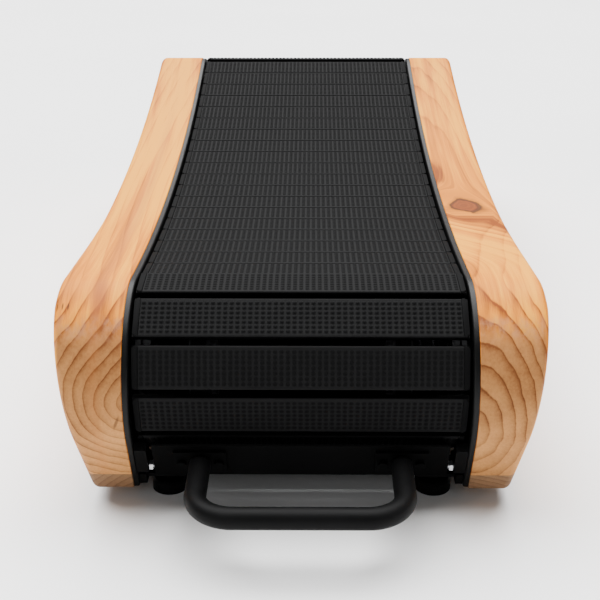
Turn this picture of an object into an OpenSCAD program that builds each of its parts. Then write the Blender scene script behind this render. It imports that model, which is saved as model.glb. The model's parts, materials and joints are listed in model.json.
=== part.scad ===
// Curved walking treadmill with a free-running slat belt between timber side panels.
// X runs across the machine, +Y to its front end, Z is up from the floor.

/* [Slat belt] */
// Number of slats in the closed belt
slat_count = 50; // [50:1:50]
// Distance from one slat to the next along the belt
slat_pitch = 59.4; // [59.2:0.1:59.5]
// Length of a slat across the machine
slat_len = 438; // [430:1:439]
// Width of a slat along the belt
slat_w = 57; // [50:0.5:57.5]
// Height of the walking surface above the belt's pitch line
slat_top = 17; // [15:0.5:17]
// Thickness of the rubber tread pad
tread_t = 3; // [2:0.5:4]
// Wall thickness of a slat carrier
carrier_wall = 3; // [2:0.5:4]
// Width of a carrier belt
belt_w = 20; // [16:1:24]
// Thickness of a carrier belt
belt_t = 5; // [4:0.5:6]
// Distance of a carrier belt's middle from the centre plane
belt_x = 134; // [128:1:138]

/* [Running gear] */
// Pitch radius of the belt pulleys
pulley_r = 103; // [102:0.5:103.5]
// Half angle of the concave walking curve
curve_half_angle = 9.93; // [9.8:0.01:10]
// Rise of the line from the rear shaft to the front shaft
shaft_line_rise = 2.07; // [2:0.01:2.15]
// Height of the rear shaft above the floor
rear_shaft_z = 177; // [175:0.5:178]
// Distance of the rear shaft behind the origin
rear_shaft_back = 514.8; // [512:0.1:517]
// Diameter of the two shafts
shaft_d = 25; // [20:1:30]
// Pitch radius of the pulleys that keep both shafts in step
sync_r = 30; // [28:1:31]
// Distance of the timing belt's middle from the centre plane
sync_x = 172; // [168:1:174]
// Width of the timing belt
sync_w = 15; // [10:1:16]
// Number of support roller stations along the walking curve
roller_stations = 12; // [10:1:12]
// Diameter of a support roller
roller_d = 36; // [34:1:36]
// Width of a support roller
roller_w = 14; // [10:1:16]

/* [Side frame] */
// Distance of a timber panel's inner face from the centre plane
panel_x = 231; // [231:1:235]
// Radius of the timber panels' round ends
nose_r = 131; // [131:0.5:134]
// Height of the rear round end's centre above the floor
nose_z = 166; // [165:0.5:168]
// Distance of the rear round end's centre behind the origin
nose_back = 517; // [515:0.5:519]
// Distance between the centres of the two round ends
nose_dist = 1158.2; // [1155:0.1:1160]
// Rise of the line between the centres of the two round ends
nose_rise = 2.1; // [2:0.05:2.2]
// Half angle of the timber's concave top
timber_half_angle = 9.15; // [9:0.05:9.3]
// Height of the timber above the floor
panel_bottom_z = 18; // [16:1:20]
// Height of the timber base boards' top face
base_board_top_z = 47; // [44:1:50]
// Thickness of a panel at its bottom edge
panel_foot_t = 59; // [50:1:60]
// Thickness of a panel at half its height
panel_mid_t = 76; // [70:1:80]
// Thickness of a panel at its top edge
panel_top_t = 95; // [90:1:98]
// Distance behind the origin of the rear bottom corner of the timber
rear_corner_back = 595; // [590:1:600]
// Distance before the origin of the front bottom corner of the timber
front_corner_fwd = 718; // [710:1:725]
// Thickness of a steel side plate
plate_t = 6; // [5:0.5:6]
// Thickness of the rubber edge trim's lip
trim_t = 2; // [1.5:0.5:2]
// Depth of the rubber edge trim's lip
trim_depth = 10; // [8:1:12]

/* [Lift handle] */
// Diameter of the handle tube
handle_d = 29; // [28:0.5:32]
// Distance between the middles of the handle's legs
handle_span = 269; // [260:1:275]
// Radius of the handle's bends at the tube's middle
handle_bend_r = 50; // [40:1:55]
// Height of the handle above the floor
handle_z = 78.5; // [76:0.5:80]
// Distance of the handle bar's middle behind the origin
handle_back = 757.4; // [740:0.1:760]

/* [Feet and wheels] */
// Diameter of a levelling foot
foot_d = 50; // [40:1:52]
// Height of a levelling foot's pad
foot_h = 18; // [14:1:18]
// Distance of a foot from the centre plane
foot_x = 185; // [183:1:188]
// Distance of the rear feet behind the origin
rear_foot_back = 562; // [560:1:565]
// Distance of the front feet before the origin
front_foot_fwd = 690; // [685:1:695]
// Diameter of a transport wheel
wheel_d = 70; // [60:1:70]
// Width of a transport wheel
wheel_w = 24; // [20:1:26]
// Distance of the transport wheels before the origin
wheel_fwd = 600; // [590:1:610]

/* [Hidden] */
// Resolution of round faces, and angular step of the computed outlines
$fn = 64;
arc_step = 4;

// Gaps and fits
run_gap = 0.3;
bore_gap = 0.05;

// Steps in a drawn walking curve, and the angle that a belt wraps round a pulley
curve_steps = 24;
belt_wrap = 180 + curve_half_angle;

// Shaft axes and the centre of the walking curve, in the plane of Y and Z
belt_len = slat_count * slat_pitch;
wrap_len = pulley_r * belt_wrap * PI / 180;
half_rad = curve_half_angle * PI / 180;
curve_r = (belt_len - 2 * wrap_len - 2 * pulley_r * sin(curve_half_angle))
    / (2 * half_rad + 2 * sin(curve_half_angle));
curve_len = 2 * half_rad * curve_r;
shaft_dist = 2 * (curve_r + pulley_r) * sin(curve_half_angle);
rear_shaft = [-rear_shaft_back, rear_shaft_z];
front_shaft = at_line(shaft_dist, 0);
curve_centre = at_line(shaft_dist / 2, (curve_r + pulley_r) * cos(curve_half_angle));
// The first slat stands this far before the rear end of the walking curve
slat_phase = 19.3;

// Centres of the timber's round ends and of its concave top
rear_nose = [-nose_back, nose_z];
front_nose = on_line(rear_nose, nose_rise, nose_dist, 0);
timber_reach = nose_dist / (2 * sin(timber_half_angle));
timber_centre = on_line(rear_nose, nose_rise, nose_dist / 2, timber_reach * cos(timber_half_angle));
nose_top_rear = 90 - timber_half_angle + nose_rise;
nose_top_front = 90 + timber_half_angle + nose_rise;

// Slat heights above the pitch line
carrier_top = slat_top - tread_t;
carrier_foot = 6;
runner_bottom = belt_t / 2 + 0.5;
boss_bottom = belt_t / 2 + 0.1;
boss_w = 24;
runner_w = 20;
runner_x = 203;

// Slat screws
screw_d = 5;
screw_head_d = 9;
screw_head_t = 1.8;
screw_top = 9;

// Belt pulleys
pulley_face_r = pulley_r - belt_t / 2 - run_gap;
pulley_w = 26;
pulley_rim_t = 10;
pulley_web_t = 8;
pulley_hub_r = 26;
pulley_hub_w = 34;
pulley_hole_r = 20;
pulley_hole_at = 61;
pulley_holes = 6;

// Timing belt and its pulleys
sync_t = 4;
sync_face_r = sync_r - sync_t / 2 - run_gap;
sync_flange_t = 2;
sync_flange_r = sync_r + 4;

// Shaft bearings and their housings
shaft_end_x = 222;
bearing_r = 26;
bearing_w = 15;
bearing_x = 208;
housing_r = 33;
housing_x = 207;
housing_flange_r = 49;
housing_flange_t = 7;
housing_bolt_at = 41;
housing_bolt_angles = [45 : 90 : 315];
bolt_d = 8;
bolt_head_r = 6.5;
bolt_head_t = 5;

// Side frame
plate_x = panel_x - plate_t;
plate_inset = 3.5;
trim_inset = 1.5;
panel_mid_z = 150;
panel_top_z = 286;
above_all_z = 400;
panel_screw_d = 6;
panel_screw_head_r = 6;
panel_screw_head_t = 3;
panel_screw_len = 38;
panel_screw_places = [for (u = [150, 430, 730, 1010]) each [[u, 6], [u, -60]]];
// Directions from the nose centres to where the nose circles meet the sloped ends
rear_slope_angle = tangent_angle([-rear_corner_back, panel_bottom_z], rear_nose, -1);
front_slope_angle = tangent_angle([front_corner_fwd, panel_bottom_z], front_nose, 1);
// Most that each stretch of a panel stands out from its inner face: [place along Y, thickness]
panel_plan = [[-800, 96], [-430, 95], [-200, 90], [400, 91], [900, 92]];

// Support rollers, rails and their bolts
roller_drop = roller_d / 2 + run_gap - runner_bottom;
roller_spread = 1032;
roller_bolt_d = 10;
roller_bolt_head_r = 8;
roller_bolt_head_t = 4;
roller_in_x = runner_x - roller_w / 2;
rail_t = 10;
rail_top = 6;
rail_h = 30;
rail_half_angle = curve_half_angle - 0.35;

// Crossmembers between the side plates
beam_w = 40;
beam_h = 50;
beam_wall = 3;
beam_end_t = 8;
beam_v = -68;
beam_places = [250, 790];
beam_bolt_v = 14;
beam_bolt_x = 208;
countersink_r = 7;
countersink_t = 3;
cross_t = 3;
cross_half = 198;
rear_cross = [[-638, 110.5], [-612, 50]];
front_cross = [[752, 128], [730, 58]];
cross_flange_reach = 34;
cross_flange_top = 0.25;
slat_clear_r = 127;
rear_corner_area = [[-660, 0], [-535, 92]];
front_corner_area = [[655, 0], [780, 112]];
block_x = 207;
block_out_x = plate_x - trim_t;
block_tab_x = 213;
block_tab_z = 42;
block_inset = 5;
rear_corner_bolt = [-604.6, 60.6];
front_corner_bolt = [726, 84];
corner_bolt_head_x = 189;
corner_bolt_end_x = 219;
nut_x = 201;
nut_t = 5;
nut_r = 7.5;

// Handle flanges
handle_flange_t = 4;
handle_flange_w = 70;
handle_flange_h = 44;
handle_bolt_at = 25;
handle_wall = 2.5;
handle_leg_end = 590;

// Feet
foot_plate_z = 31;
foot_plate_t = 5;
foot_plate_half = 25;
foot_thread_d = 12;
foot_stem_top = 46;
foot_hex_t = 6;
foot_hex_r = 10;
foot_collar_r = 8;
foot_nut_t = 6;
foot_chamfer = 3;
foot_places = [[-foot_x, -rear_foot_back], [foot_x, -rear_foot_back],
               [-foot_x, front_foot_fwd], [foot_x, front_foot_fwd]];

// Transport wheels
wheel_z = wheel_d / 2 + 4;
wheel_x = 196;
wheel_place = [wheel_fwd, wheel_z];
wheel_bolt_d = 12;
wheel_bolt_head_r = 9;
wheel_bolt_head_t = 5;
wheel_spacer_r = 7;
wheel_recess = 4;
wheel_hub_r = 14;
wheel_chamfer = 3;
side_gap = 0.5;

roller_names = [for (i = [1 : roller_stations]) str("rollers_", i < 10 ? "0" : "", i)];

// ---------- geometry helpers ----------

// A point u along and v above a line that rises from a start at an angle
function on_line(start, angle, u, v) =
    start + [u * cos(angle) - v * sin(angle), u * sin(angle) + v * cos(angle)];

// A point u along and v above the line from the rear shaft to the front shaft
function at_line(u, v) = on_line([-rear_shaft_back, rear_shaft_z], shaft_line_rise, u, v);

function polar(r, a) = [r * cos(a), r * sin(a)];

// Points of an arc about c from angle a0 to a1
function arc(c, r, a0, a1, steps) = [for (i = [0 : steps]) c + polar(r, a0 + (a1 - a0) * i / steps)];

// The same arc without its two end points, for use between two other arcs
function inner_arc(c, r, a0, a1, steps) =
    [for (i = [1 : steps - 1]) c + polar(r, a0 + (a1 - a0) * i / steps)];

function arc_steps(sweep) = ceil(abs(sweep) / arc_step);

// Direction from a circle's centre to the tangent point of the line through corner
function tangent_angle(corner, centre, side) =
    let (d = corner - centre)
    atan2(d[1], d[0]) + side * acos(nose_r / norm(d));

// Angles of the belt line, measured in the machine's own frame
rise = shaft_line_rise;
top_angle_rear = 90 - curve_half_angle + rise;
top_angle_front = 90 + curve_half_angle + rise;
bottom_angle = -90 + rise;

// Closed line at a constant height above the belt's pitch line
function belt_line(h) = concat(
    arc(rear_shaft, pulley_r + h, bottom_angle, top_angle_rear - 360, arc_steps(belt_wrap)),
    inner_arc(curve_centre, curve_r - h, 180 + top_angle_rear, 180 + top_angle_front, curve_steps),
    arc(front_shaft, pulley_r + h, top_angle_front, bottom_angle, arc_steps(belt_wrap)));

// Side outline of the timber, set in by d all round
function side_outline(d) =
    let (r = nose_r - d)
    concat(
        [slope_foot(rear_nose, r, rear_slope_angle, panel_bottom_z + d)],
        arc(rear_nose, r, rear_slope_angle, nose_top_rear - 360,
            arc_steps(rear_slope_angle + 360 - nose_top_rear)),
        inner_arc(timber_centre, timber_reach - r, 180 + nose_top_rear, 180 + nose_top_front, curve_steps),
        arc(front_nose, r, nose_top_front, front_slope_angle,
            arc_steps(nose_top_front - front_slope_angle)),
        [slope_foot(front_nose, r, front_slope_angle, panel_bottom_z + d)]);

// Where the tangent line at angle a of a circle comes down to height z
function slope_foot(c, r, a, z) = let (p = c + polar(r, a)) [p[0] + (p[1] - z) * tan(a), z];

// Place on the belt at distance s behind the start of the walking curve: [y, z, outward angle]
function belt_place(s) =
    let (t = (s + belt_len) % belt_len)
    t < curve_len ? place_on(curve_centre, curve_r, 180 + top_angle_rear + t / curve_r * 180 / PI, 180)
    : t < curve_len + wrap_len
        ? place_on(front_shaft, pulley_r, top_angle_front - (t - curve_len) / pulley_r * 180 / PI, 0)
    : t < curve_len + wrap_len + shaft_dist
        ? concat(at_line(shaft_dist - (t - curve_len - wrap_len), -pulley_r), [bottom_angle])
    : place_on(rear_shaft, pulley_r,
        bottom_angle - (t - curve_len - wrap_len - shaft_dist) / pulley_r * 180 / PI, 0);

function place_on(c, r, a, turn) = concat(c + polar(r, a), [a + turn]);

function slat_place(i) = belt_place(i * slat_pitch - slat_phase);

// Axis of roller station i, under the walking curve
function roller_place(i) =
    let (s = curve_len / 2 + roller_spread * (i / (roller_stations - 1) - 0.5),
         a = 180 + top_angle_rear + s / curve_r * 180 / PI)
    curve_centre + polar(curve_r + roller_drop, a);

// ---------- placing ----------

// Extrudes an outline drawn in the plane of Y and Z from x0 to x1
module across(x0, x1) {
    translate([x0, 0, 0]) rotate([90, 0, 90]) linear_extrude(x1 - x0) children();
}

// Extrudes an outline drawn in the plane of X and Z from y0 to y1
module along(y0, y1) {
    translate([0, y1, 0]) rotate([90, 0, 0]) linear_extrude(y1 - y0) children();
}

// Round bar along X
module bar(x0, x1, r, place) {
    translate([x0, place[0], place[1]]) rotate([0, 90, 0]) cylinder(h = x1 - x0, r = r);
}

// Hexagon nut or head along X
module hex_bar(x0, x1, r, place) {
    translate([x0, place[0], place[1]]) rotate([0, 90, 0]) cylinder(h = x1 - x0, r = r, $fn = 6);
}

module on_left() { mirror([1, 0, 0]) children(); }

module both_sides() {
    children();
    on_left() children();
}

// Local Z points out of the belt loop, local Y back along it
module at_place(p) { translate([0, p[0], p[1]]) rotate([p[2] - 90, 0, 0]) children(); }

// Local Z points out of a cross plate's outer face, at its middle
module at_cross_plate(line) {
    mid = (line[0] + line[1]) / 2;
    at_place([mid[0], mid[1], cross_angle(line)]) children();
}

function cross_out(line) =
    let (d = (line[1] - line[0]) / norm(line[1] - line[0]), n = [d[1], -d[0]])
    n[0] * line[0][0] > 0 ? n : -n;

function cross_angle(line) = let (n = cross_out(line)) atan2(n[1], n[0]);

// ---------- timber sides ----------

function panel_t(z) = lookup(z, [[panel_bottom_z, panel_foot_t], [panel_mid_z, panel_mid_t],
                                 [panel_top_z, panel_top_t], [above_all_z, panel_top_t]]);

// Cross-section of a side between two heights: flat inside, bowed outside
module panel_section(z0, z1) {
    heights = concat([z0], [for (z = [panel_mid_z, panel_top_z]) if (z > z0 && z < z1) z], [z1]);
    outer = [for (z = heights) [panel_x + panel_t(z), z]];
    polygon(concat([[panel_x, z1], [panel_x, z0]], outer));
}

// Plan of a side, a little thicker at its rear end
module panel_outline() {
    outer = [for (p = panel_plan) [panel_x + p[1], p[0]]];
    last = len(outer) - 1;
    polygon(concat([[panel_x, outer[0][1]]], outer, [[panel_x, outer[last][1]]]));
}

module timber(z0, z1) {
    intersection() {
        across(panel_x, panel_x + panel_top_t + 1) polygon(side_outline(0));
        along(-above_all_z * 2, above_all_z * 2) panel_section(z0, z1);
        linear_extrude(above_all_z) panel_outline();
    }
}

module side_panel() {
    color("burlywood") difference() {
        timber(base_board_top_z, above_all_z);
        for (p = panel_screw_places)
            bar(panel_x - 1, plate_x + panel_screw_len, panel_screw_d / 2, at_line(p[0], p[1]));
    }
}

module base_board() { color("tan") timber(panel_bottom_z, base_board_top_z); }

module panel_screws() {
    color("silver") both_sides() for (p = panel_screw_places) {
        place = at_line(p[0], p[1]);
        bar(plate_x - panel_screw_head_t, plate_x, panel_screw_head_r, place);
        bar(plate_x - 1, plate_x + panel_screw_len, panel_screw_d / 2, place);
    }
}

// ---------- side plates, trims and rails ----------

module side_plate() {
    color([0.09, 0.09, 0.1]) difference() {
        across(plate_x, panel_x) polygon(side_outline(plate_inset));
        for (p = panel_screw_places) plate_hole(panel_screw_d / 2, at_line(p[0], p[1]));
        for (i = [0 : roller_stations - 1]) plate_hole(roller_bolt_d / 2, roller_place(i));
        for (shaft = [rear_shaft, front_shaft], a = housing_bolt_angles)
            plate_hole(bolt_d / 2, shaft + polar(housing_bolt_at, a));
        plate_hole(wheel_bolt_d / 2, wheel_place);
        for (u = beam_places, v = [-beam_bolt_v, beam_bolt_v]) {
            plate_hole(bolt_d / 2, at_line(u, beam_v + v));
            bar(panel_x - countersink_t, panel_x + 1, countersink_r, at_line(u, beam_v + v));
        }
    }
}

module plate_hole(r, place) { bar(plate_x - 1, panel_x + 1, r, place); }

module edge_trim() {
    color([0.2, 0.2, 0.21]) difference() {
        across(plate_x - trim_t, panel_x) polygon(side_outline(trim_inset));
        across(plate_x, panel_x + 1) polygon(side_outline(plate_inset));
        across(plate_x - trim_t - 1, plate_x + 1) polygon(side_outline(plate_inset + trim_depth));
    }
}

module roller_rail() {
    mid = 270 + rise;
    a0 = mid - rail_half_angle;
    a1 = mid + rail_half_angle;
    color([0.25, 0.25, 0.27]) difference() {
        across(plate_x - rail_t, plate_x) polygon(concat(
            arc(curve_centre, curve_r + rail_top, a0, a1, curve_steps),
            arc(curve_centre, curve_r + rail_top + rail_h, a1, a0, curve_steps)));
        for (i = [0 : roller_stations - 1])
            bar(plate_x - rail_t - 1, plate_x + 1, roller_bolt_d / 2, roller_place(i));
    }
}

module roller_bolts() {
    head_x = roller_in_x - side_gap;
    color("silver") both_sides() for (i = [0 : roller_stations - 1]) {
        place = roller_place(i);
        bar(head_x - roller_bolt_head_t, head_x, roller_bolt_head_r, place);
        bar(head_x - 1, panel_x, roller_bolt_d / 2, place);
        bar(roller_in_x + roller_w + side_gap, plate_x - rail_t, roller_bolt_head_r, place);
    }
}

module rollers(i) {
    color("dimgray") both_sides() difference() {
        bar(roller_in_x, roller_in_x + roller_w, roller_d / 2, roller_place(i));
        bar(roller_in_x - 1, roller_in_x + roller_w + 1, roller_bolt_d / 2 + bore_gap, roller_place(i));
    }
}

// ---------- cross plates, beams and corner blocks ----------

// Corner behind a cross plate's inner face, cut clear of the slats
module flange_outline(line, shaft) {
    inner = -cross_out(line) * cross_t;
    top = line[0] + (line[1] - line[0]) * cross_flange_top + inner;
    foot = line[1] + inner;
    back = [foot[0] - sign(foot[0]) * cross_flange_reach, foot[1]];
    difference() {
        polygon([top, foot, back, shaft]);
        translate(shaft) circle(slat_clear_r);
    }
}

// Folded steel plate between the sides, with a bolted flange at each end
module cross_plate(line, shaft, bolt) {
    height = norm(line[1] - line[0]);
    color([0.07, 0.07, 0.08]) difference() {
        union() {
            at_cross_plate(line) translate([-cross_half, -height / 2, -cross_t])
                cube([2 * cross_half, height, cross_t]);
            both_sides() across(cross_half - cross_t, cross_half) flange_outline(line, shaft);
        }
        both_sides() bar(cross_half - cross_t - 1, cross_half + 1, bolt_d / 2, bolt);
        if (line == rear_cross) handle_bolt_places()
            translate([0, 0, -cross_t - 1]) cylinder(h = cross_t + 2, r = bolt_d / 2);
    }
}

// Part of a corner inside the side outline and clear of the slats
module corner_outline(inset, area, shaft) {
    difference() {
        intersection() {
            polygon(side_outline(inset));
            polygon([area[0], [area[1][0], area[0][1]], area[1], [area[0][0], area[1][1]]]);
        }
        translate(shaft) circle(slat_clear_r);
    }
}

// Block that carries a cross plate's bolt, a foot plate and the side plate's corner
module corner_block(line, area, shaft, bolt) {
    tab = [area[0], [area[1][0], block_tab_z]];
    across(block_tab_x, block_out_x) corner_outline(block_inset, tab, shaft);
    across(block_out_x, plate_x) corner_outline(plate_inset + trim_depth, area, shaft);
    difference() {
        across(block_x, block_out_x) flange_outline(line, shaft);
        bar(block_x - 1, corner_bolt_end_x, bolt_d / 2, bolt);
    }
}

module corner_blocks() {
    color([0.1, 0.1, 0.11]) both_sides() {
        corner_block(rear_cross, rear_corner_area, rear_shaft, rear_corner_bolt);
        corner_block(front_cross, front_corner_area, front_shaft, front_corner_bolt);
    }
}

module corner_bolts() {
    color("silver") both_sides() for (p = [rear_corner_bolt, front_corner_bolt]) {
        hex_bar(corner_bolt_head_x, cross_half - cross_t, nut_r, p);
        bar(corner_bolt_head_x + 1, corner_bolt_end_x, bolt_d / 2, p);
    }
}

module corner_nuts() {
    color("silver") both_sides() for (p = [rear_corner_bolt, front_corner_bolt]) difference() {
        hex_bar(nut_x, nut_x + nut_t, nut_r, p);
        bar(nut_x - 1, nut_x + nut_t + 1, bolt_d / 2, p);
    }
}

module cross_beams() {
    color([0.1, 0.1, 0.11]) for (u = beam_places) difference() {
        at_place(concat(at_line(u, beam_v), [90 + rise])) difference() {
            translate([-plate_x, -beam_w / 2, -beam_h / 2]) cube([2 * plate_x, beam_w, beam_h]);
            translate([-plate_x + beam_end_t, -beam_w / 2 + beam_wall, -beam_h / 2 + beam_wall])
                cube([2 * (plate_x - beam_end_t), beam_w - 2 * beam_wall, beam_h - 2 * beam_wall]);
        }
        both_sides() for (v = [-beam_bolt_v, beam_bolt_v])
            bar(plate_x - beam_end_t - 1, plate_x + 1, bolt_d / 2, at_line(u, beam_v + v));
    }
}

module beam_bolts() {
    color("silver") both_sides() for (u = beam_places, v = [-beam_bolt_v, beam_bolt_v]) {
        place = at_line(u, beam_v + v);
        bar(panel_x - countersink_t, panel_x, countersink_r, place);
        bar(beam_bolt_x, panel_x - 1, bolt_d / 2, place);
    }
}

// ---------- lift handle ----------

module handle_bolt_places() {
    at_cross_plate(rear_cross) for (x = [-1, 1], side = [-1, 1])
        translate([side * handle_span / 2 + x * handle_bolt_at, 0, 0]) children();
}

module tube_section() {
    difference() {
        circle(d = handle_d);
        circle(d = handle_d - 2 * handle_wall);
    }
}

module lift_handle() {
    leg_x = handle_span / 2;
    bend_y = -handle_back + handle_bend_r;
    bar_half = leg_x - handle_bend_r;
    color([0.08, 0.08, 0.09]) union() {
        translate([-bar_half, -handle_back, handle_z]) rotate([90, 0, 90])
            linear_extrude(2 * bar_half) tube_section();
        both_sides() translate([bar_half, bend_y, handle_z]) rotate([0, 0, -90])
            rotate_extrude(angle = 90) translate([handle_bend_r, 0]) tube_section();
        both_sides() difference() {
            translate([leg_x, bend_y, handle_z]) rotate([-90, 0, 0])
                linear_extrude(-bend_y - handle_leg_end) tube_section();
            at_cross_plate(rear_cross) translate([-above_all_z, -above_all_z / 2, -above_all_z / 2])
                cube([2 * above_all_z, above_all_z, above_all_z / 2 + handle_flange_t]);
        }
    }
}

module handle_flanges() {
    color([0.09, 0.09, 0.1]) difference() {
        at_cross_plate(rear_cross) both_sides()
            translate([handle_span / 2 - handle_flange_w / 2, -handle_flange_h / 2, 0])
                cube([handle_flange_w, handle_flange_h, handle_flange_t]);
        handle_bolt_places() translate([0, 0, -1]) cylinder(h = handle_flange_t + 2, r = bolt_d / 2);
    }
}

module handle_bolts() {
    color([0.15, 0.15, 0.16]) handle_bolt_places() {
        translate([0, 0, -cross_t]) cylinder(h = cross_t + handle_flange_t + 1, r = bolt_d / 2);
        translate([0, 0, handle_flange_t]) cylinder(h = bolt_head_t, r = bolt_head_r);
    }
}

// ---------- shafts, bearings and pulleys ----------

module bearing_housing(shaft) {
    difference() {
        union() {
            bar(housing_x, plate_x, housing_r, shaft);
            bar(plate_x - housing_flange_t, plate_x, housing_flange_r, shaft);
        }
        bar(housing_x - 1, bearing_x + bearing_w, bearing_r, shaft);
        for (a = housing_bolt_angles)
            bar(plate_x - housing_flange_t - 1, plate_x + 1, bolt_d / 2, shaft + polar(housing_bolt_at, a));
    }
}

module bearing_housings() {
    color([0.3, 0.3, 0.32]) both_sides() {
        bearing_housing(rear_shaft);
        bearing_housing(front_shaft);
    }
}

module shaft_bearings() {
    color("lightgray") both_sides() for (shaft = [rear_shaft, front_shaft]) difference() {
        bar(bearing_x, bearing_x + bearing_w, bearing_r, shaft);
        bar(bearing_x - 1, bearing_x + bearing_w + 1, shaft_d / 2 + bore_gap, shaft);
    }
}

module housing_bolts() {
    flange_x = plate_x - housing_flange_t;
    color("silver") both_sides() for (shaft = [rear_shaft, front_shaft], a = housing_bolt_angles) {
        place = shaft + polar(housing_bolt_at, a);
        bar(flange_x - bolt_head_t, flange_x, bolt_head_r, place);
        bar(flange_x - 1, panel_x, bolt_d / 2, place);
    }
}

module shaft_bar(shaft) { color("silver") bar(-shaft_end_x, shaft_end_x, shaft_d / 2, shaft); }

// Spoked-out disc with a broad rim and a hub, turned about its own axis
module belt_pulley(shaft) {
    color([0.35, 0.36, 0.38]) translate([belt_x, shaft[0], shaft[1]]) rotate([0, 90, 0]) difference() {
        rotate_extrude() polygon([
            [shaft_d / 2, -pulley_hub_w / 2], [pulley_hub_r, -pulley_hub_w / 2],
            [pulley_hub_r, -pulley_web_t / 2], [pulley_face_r - pulley_rim_t, -pulley_web_t / 2],
            [pulley_face_r - pulley_rim_t, -pulley_w / 2], [pulley_face_r, -pulley_w / 2],
            [pulley_face_r, pulley_w / 2], [pulley_face_r - pulley_rim_t, pulley_w / 2],
            [pulley_face_r - pulley_rim_t, pulley_web_t / 2], [pulley_hub_r, pulley_web_t / 2],
            [pulley_hub_r, pulley_hub_w / 2], [shaft_d / 2, pulley_hub_w / 2]]);
        for (a = [0 : 360 / pulley_holes : 359]) rotate([0, 0, a])
            translate([pulley_hole_at, 0, -pulley_w]) cylinder(h = 2 * pulley_w, r = pulley_hole_r);
    }
}

module sync_pulley(shaft) {
    half = sync_w / 2 + side_gap;
    color("silver") difference() {
        union() {
            bar(sync_x - half, sync_x + half, sync_face_r, shaft);
            bar(sync_x - half - sync_flange_t, sync_x - half, sync_flange_r, shaft);
            bar(sync_x + half, sync_x + half + sync_flange_t, sync_flange_r, shaft);
        }
        bar(sync_x - sync_w, sync_x + sync_w, shaft_d / 2, shaft);
    }
}

// ---------- belts and slats ----------

function timing_line(h) = concat(
    arc(rear_shaft, sync_r + h, bottom_angle, bottom_angle - 180, arc_steps(180)),
    arc(front_shaft, sync_r + h, bottom_angle + 180, bottom_angle, arc_steps(180)));

module timing_belt() {
    color([0.05, 0.05, 0.05]) across(sync_x - sync_w / 2, sync_x + sync_w / 2) difference() {
        polygon(timing_line(sync_t / 2));
        polygon(timing_line(-sync_t / 2));
    }
}

module at_slats() { for (i = [0 : slat_count - 1]) at_place(slat_place(i)) children(); }

module carrier_belt() {
    color([0.05, 0.05, 0.05]) difference() {
        across(belt_x - belt_w / 2, belt_x + belt_w / 2) difference() {
            polygon(belt_line(belt_t / 2));
            polygon(belt_line(-belt_t / 2));
        }
        at_slats() translate([belt_x, 0, 0]) {
            translate([0, 0, -belt_t]) cylinder(h = 2 * belt_t, r = screw_d / 2);
            translate([0, 0, -belt_t]) cylinder(h = belt_t / 2 + screw_head_t, r = screw_head_d / 2);
        }
    }
}

module slat_screws() {
    color("silver") at_slats() for (x = [-belt_x, belt_x]) translate([x, 0, 0]) {
        translate([0, 0, -belt_t / 2]) cylinder(h = screw_top + belt_t / 2, r = screw_d / 2);
        translate([0, 0, -belt_t / 2]) cylinder(h = screw_head_t, r = screw_head_d / 2);
    }
}

// Block of a slat, centred across the machine and along the belt
module slab(x, len, w, z0, z1) { translate([x - len / 2, -w / 2, z0]) cube([len, w, z1 - z0]); }

module slat_carrier() {
    plate_z = carrier_top - carrier_wall;
    difference() {
        slab(0, slat_len, slat_w, carrier_foot, carrier_top);
        slab(0, slat_len + 1, slat_w - 2 * carrier_wall, carrier_foot - 1, plate_z);
    }
    both_sides() {
        slab(runner_x, runner_w, slat_w - 2 * carrier_wall, runner_bottom, plate_z);
        difference() {
            slab(belt_x, belt_w, boss_w, boss_bottom, plate_z);
            translate([belt_x, 0, 0]) cylinder(h = screw_top, r = screw_d / 2);
        }
    }
}

module slat_carriers() { color([0.13, 0.13, 0.14]) at_slats() slat_carrier(); }

module slat_treads() { color([0.22, 0.22, 0.23]) at_slats() slab(0, slat_len, slat_w, carrier_top, slat_top); }

// ---------- feet and wheels ----------

module at_feet() { for (p = foot_places) translate([p[0], p[1], 0]) children(); }

module foot_hole() { cylinder(h = above_all_z, r = foot_thread_d / 2 + bore_gap); }

module foot_plates() {
    color([0.1, 0.1, 0.11]) difference() {
        both_sides() for (y = [-rear_foot_back, front_foot_fwd])
            translate([foot_x - foot_plate_half, y - foot_plate_half, foot_plate_z])
                cube([block_tab_x - foot_x + foot_plate_half, 2 * foot_plate_half, foot_plate_t]);
        at_feet() foot_hole();
    }
}

module foot_nuts() {
    color("silver") at_feet() difference() {
        translate([0, 0, foot_plate_z + foot_plate_t]) cylinder(h = foot_nut_t, r = foot_hex_r, $fn = 6);
        foot_hole();
    }
}

// Levelling foot: rubber pad, hexagon, collar and threaded stem
module foot(p) {
    color([0.06, 0.06, 0.06]) translate([p[0], p[1], 0]) {
        cylinder(h = foot_h - foot_chamfer, d = foot_d);
        translate([0, 0, foot_h - foot_chamfer])
            cylinder(h = foot_chamfer, d1 = foot_d, d2 = foot_d - 2 * foot_chamfer);
        translate([0, 0, foot_h]) cylinder(h = foot_hex_t, r = foot_hex_r, $fn = 6);
        translate([0, 0, foot_h]) cylinder(h = foot_plate_z - run_gap - foot_h, r = foot_collar_r);
        translate([0, 0, foot_h]) cylinder(h = foot_stem_top - foot_h, d = foot_thread_d);
    }
}

module wheel_axles() {
    in_x = wheel_x - wheel_w / 2 - side_gap;
    out_x = wheel_x + wheel_w / 2 + side_gap;
    color("silver") both_sides() {
        hex_bar(in_x - wheel_bolt_head_t, in_x, wheel_bolt_head_r, wheel_place);
        bar(in_x - 1, panel_x, wheel_bolt_d / 2, wheel_place);
        bar(out_x, plate_x, wheel_spacer_r, wheel_place);
    }
}

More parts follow.
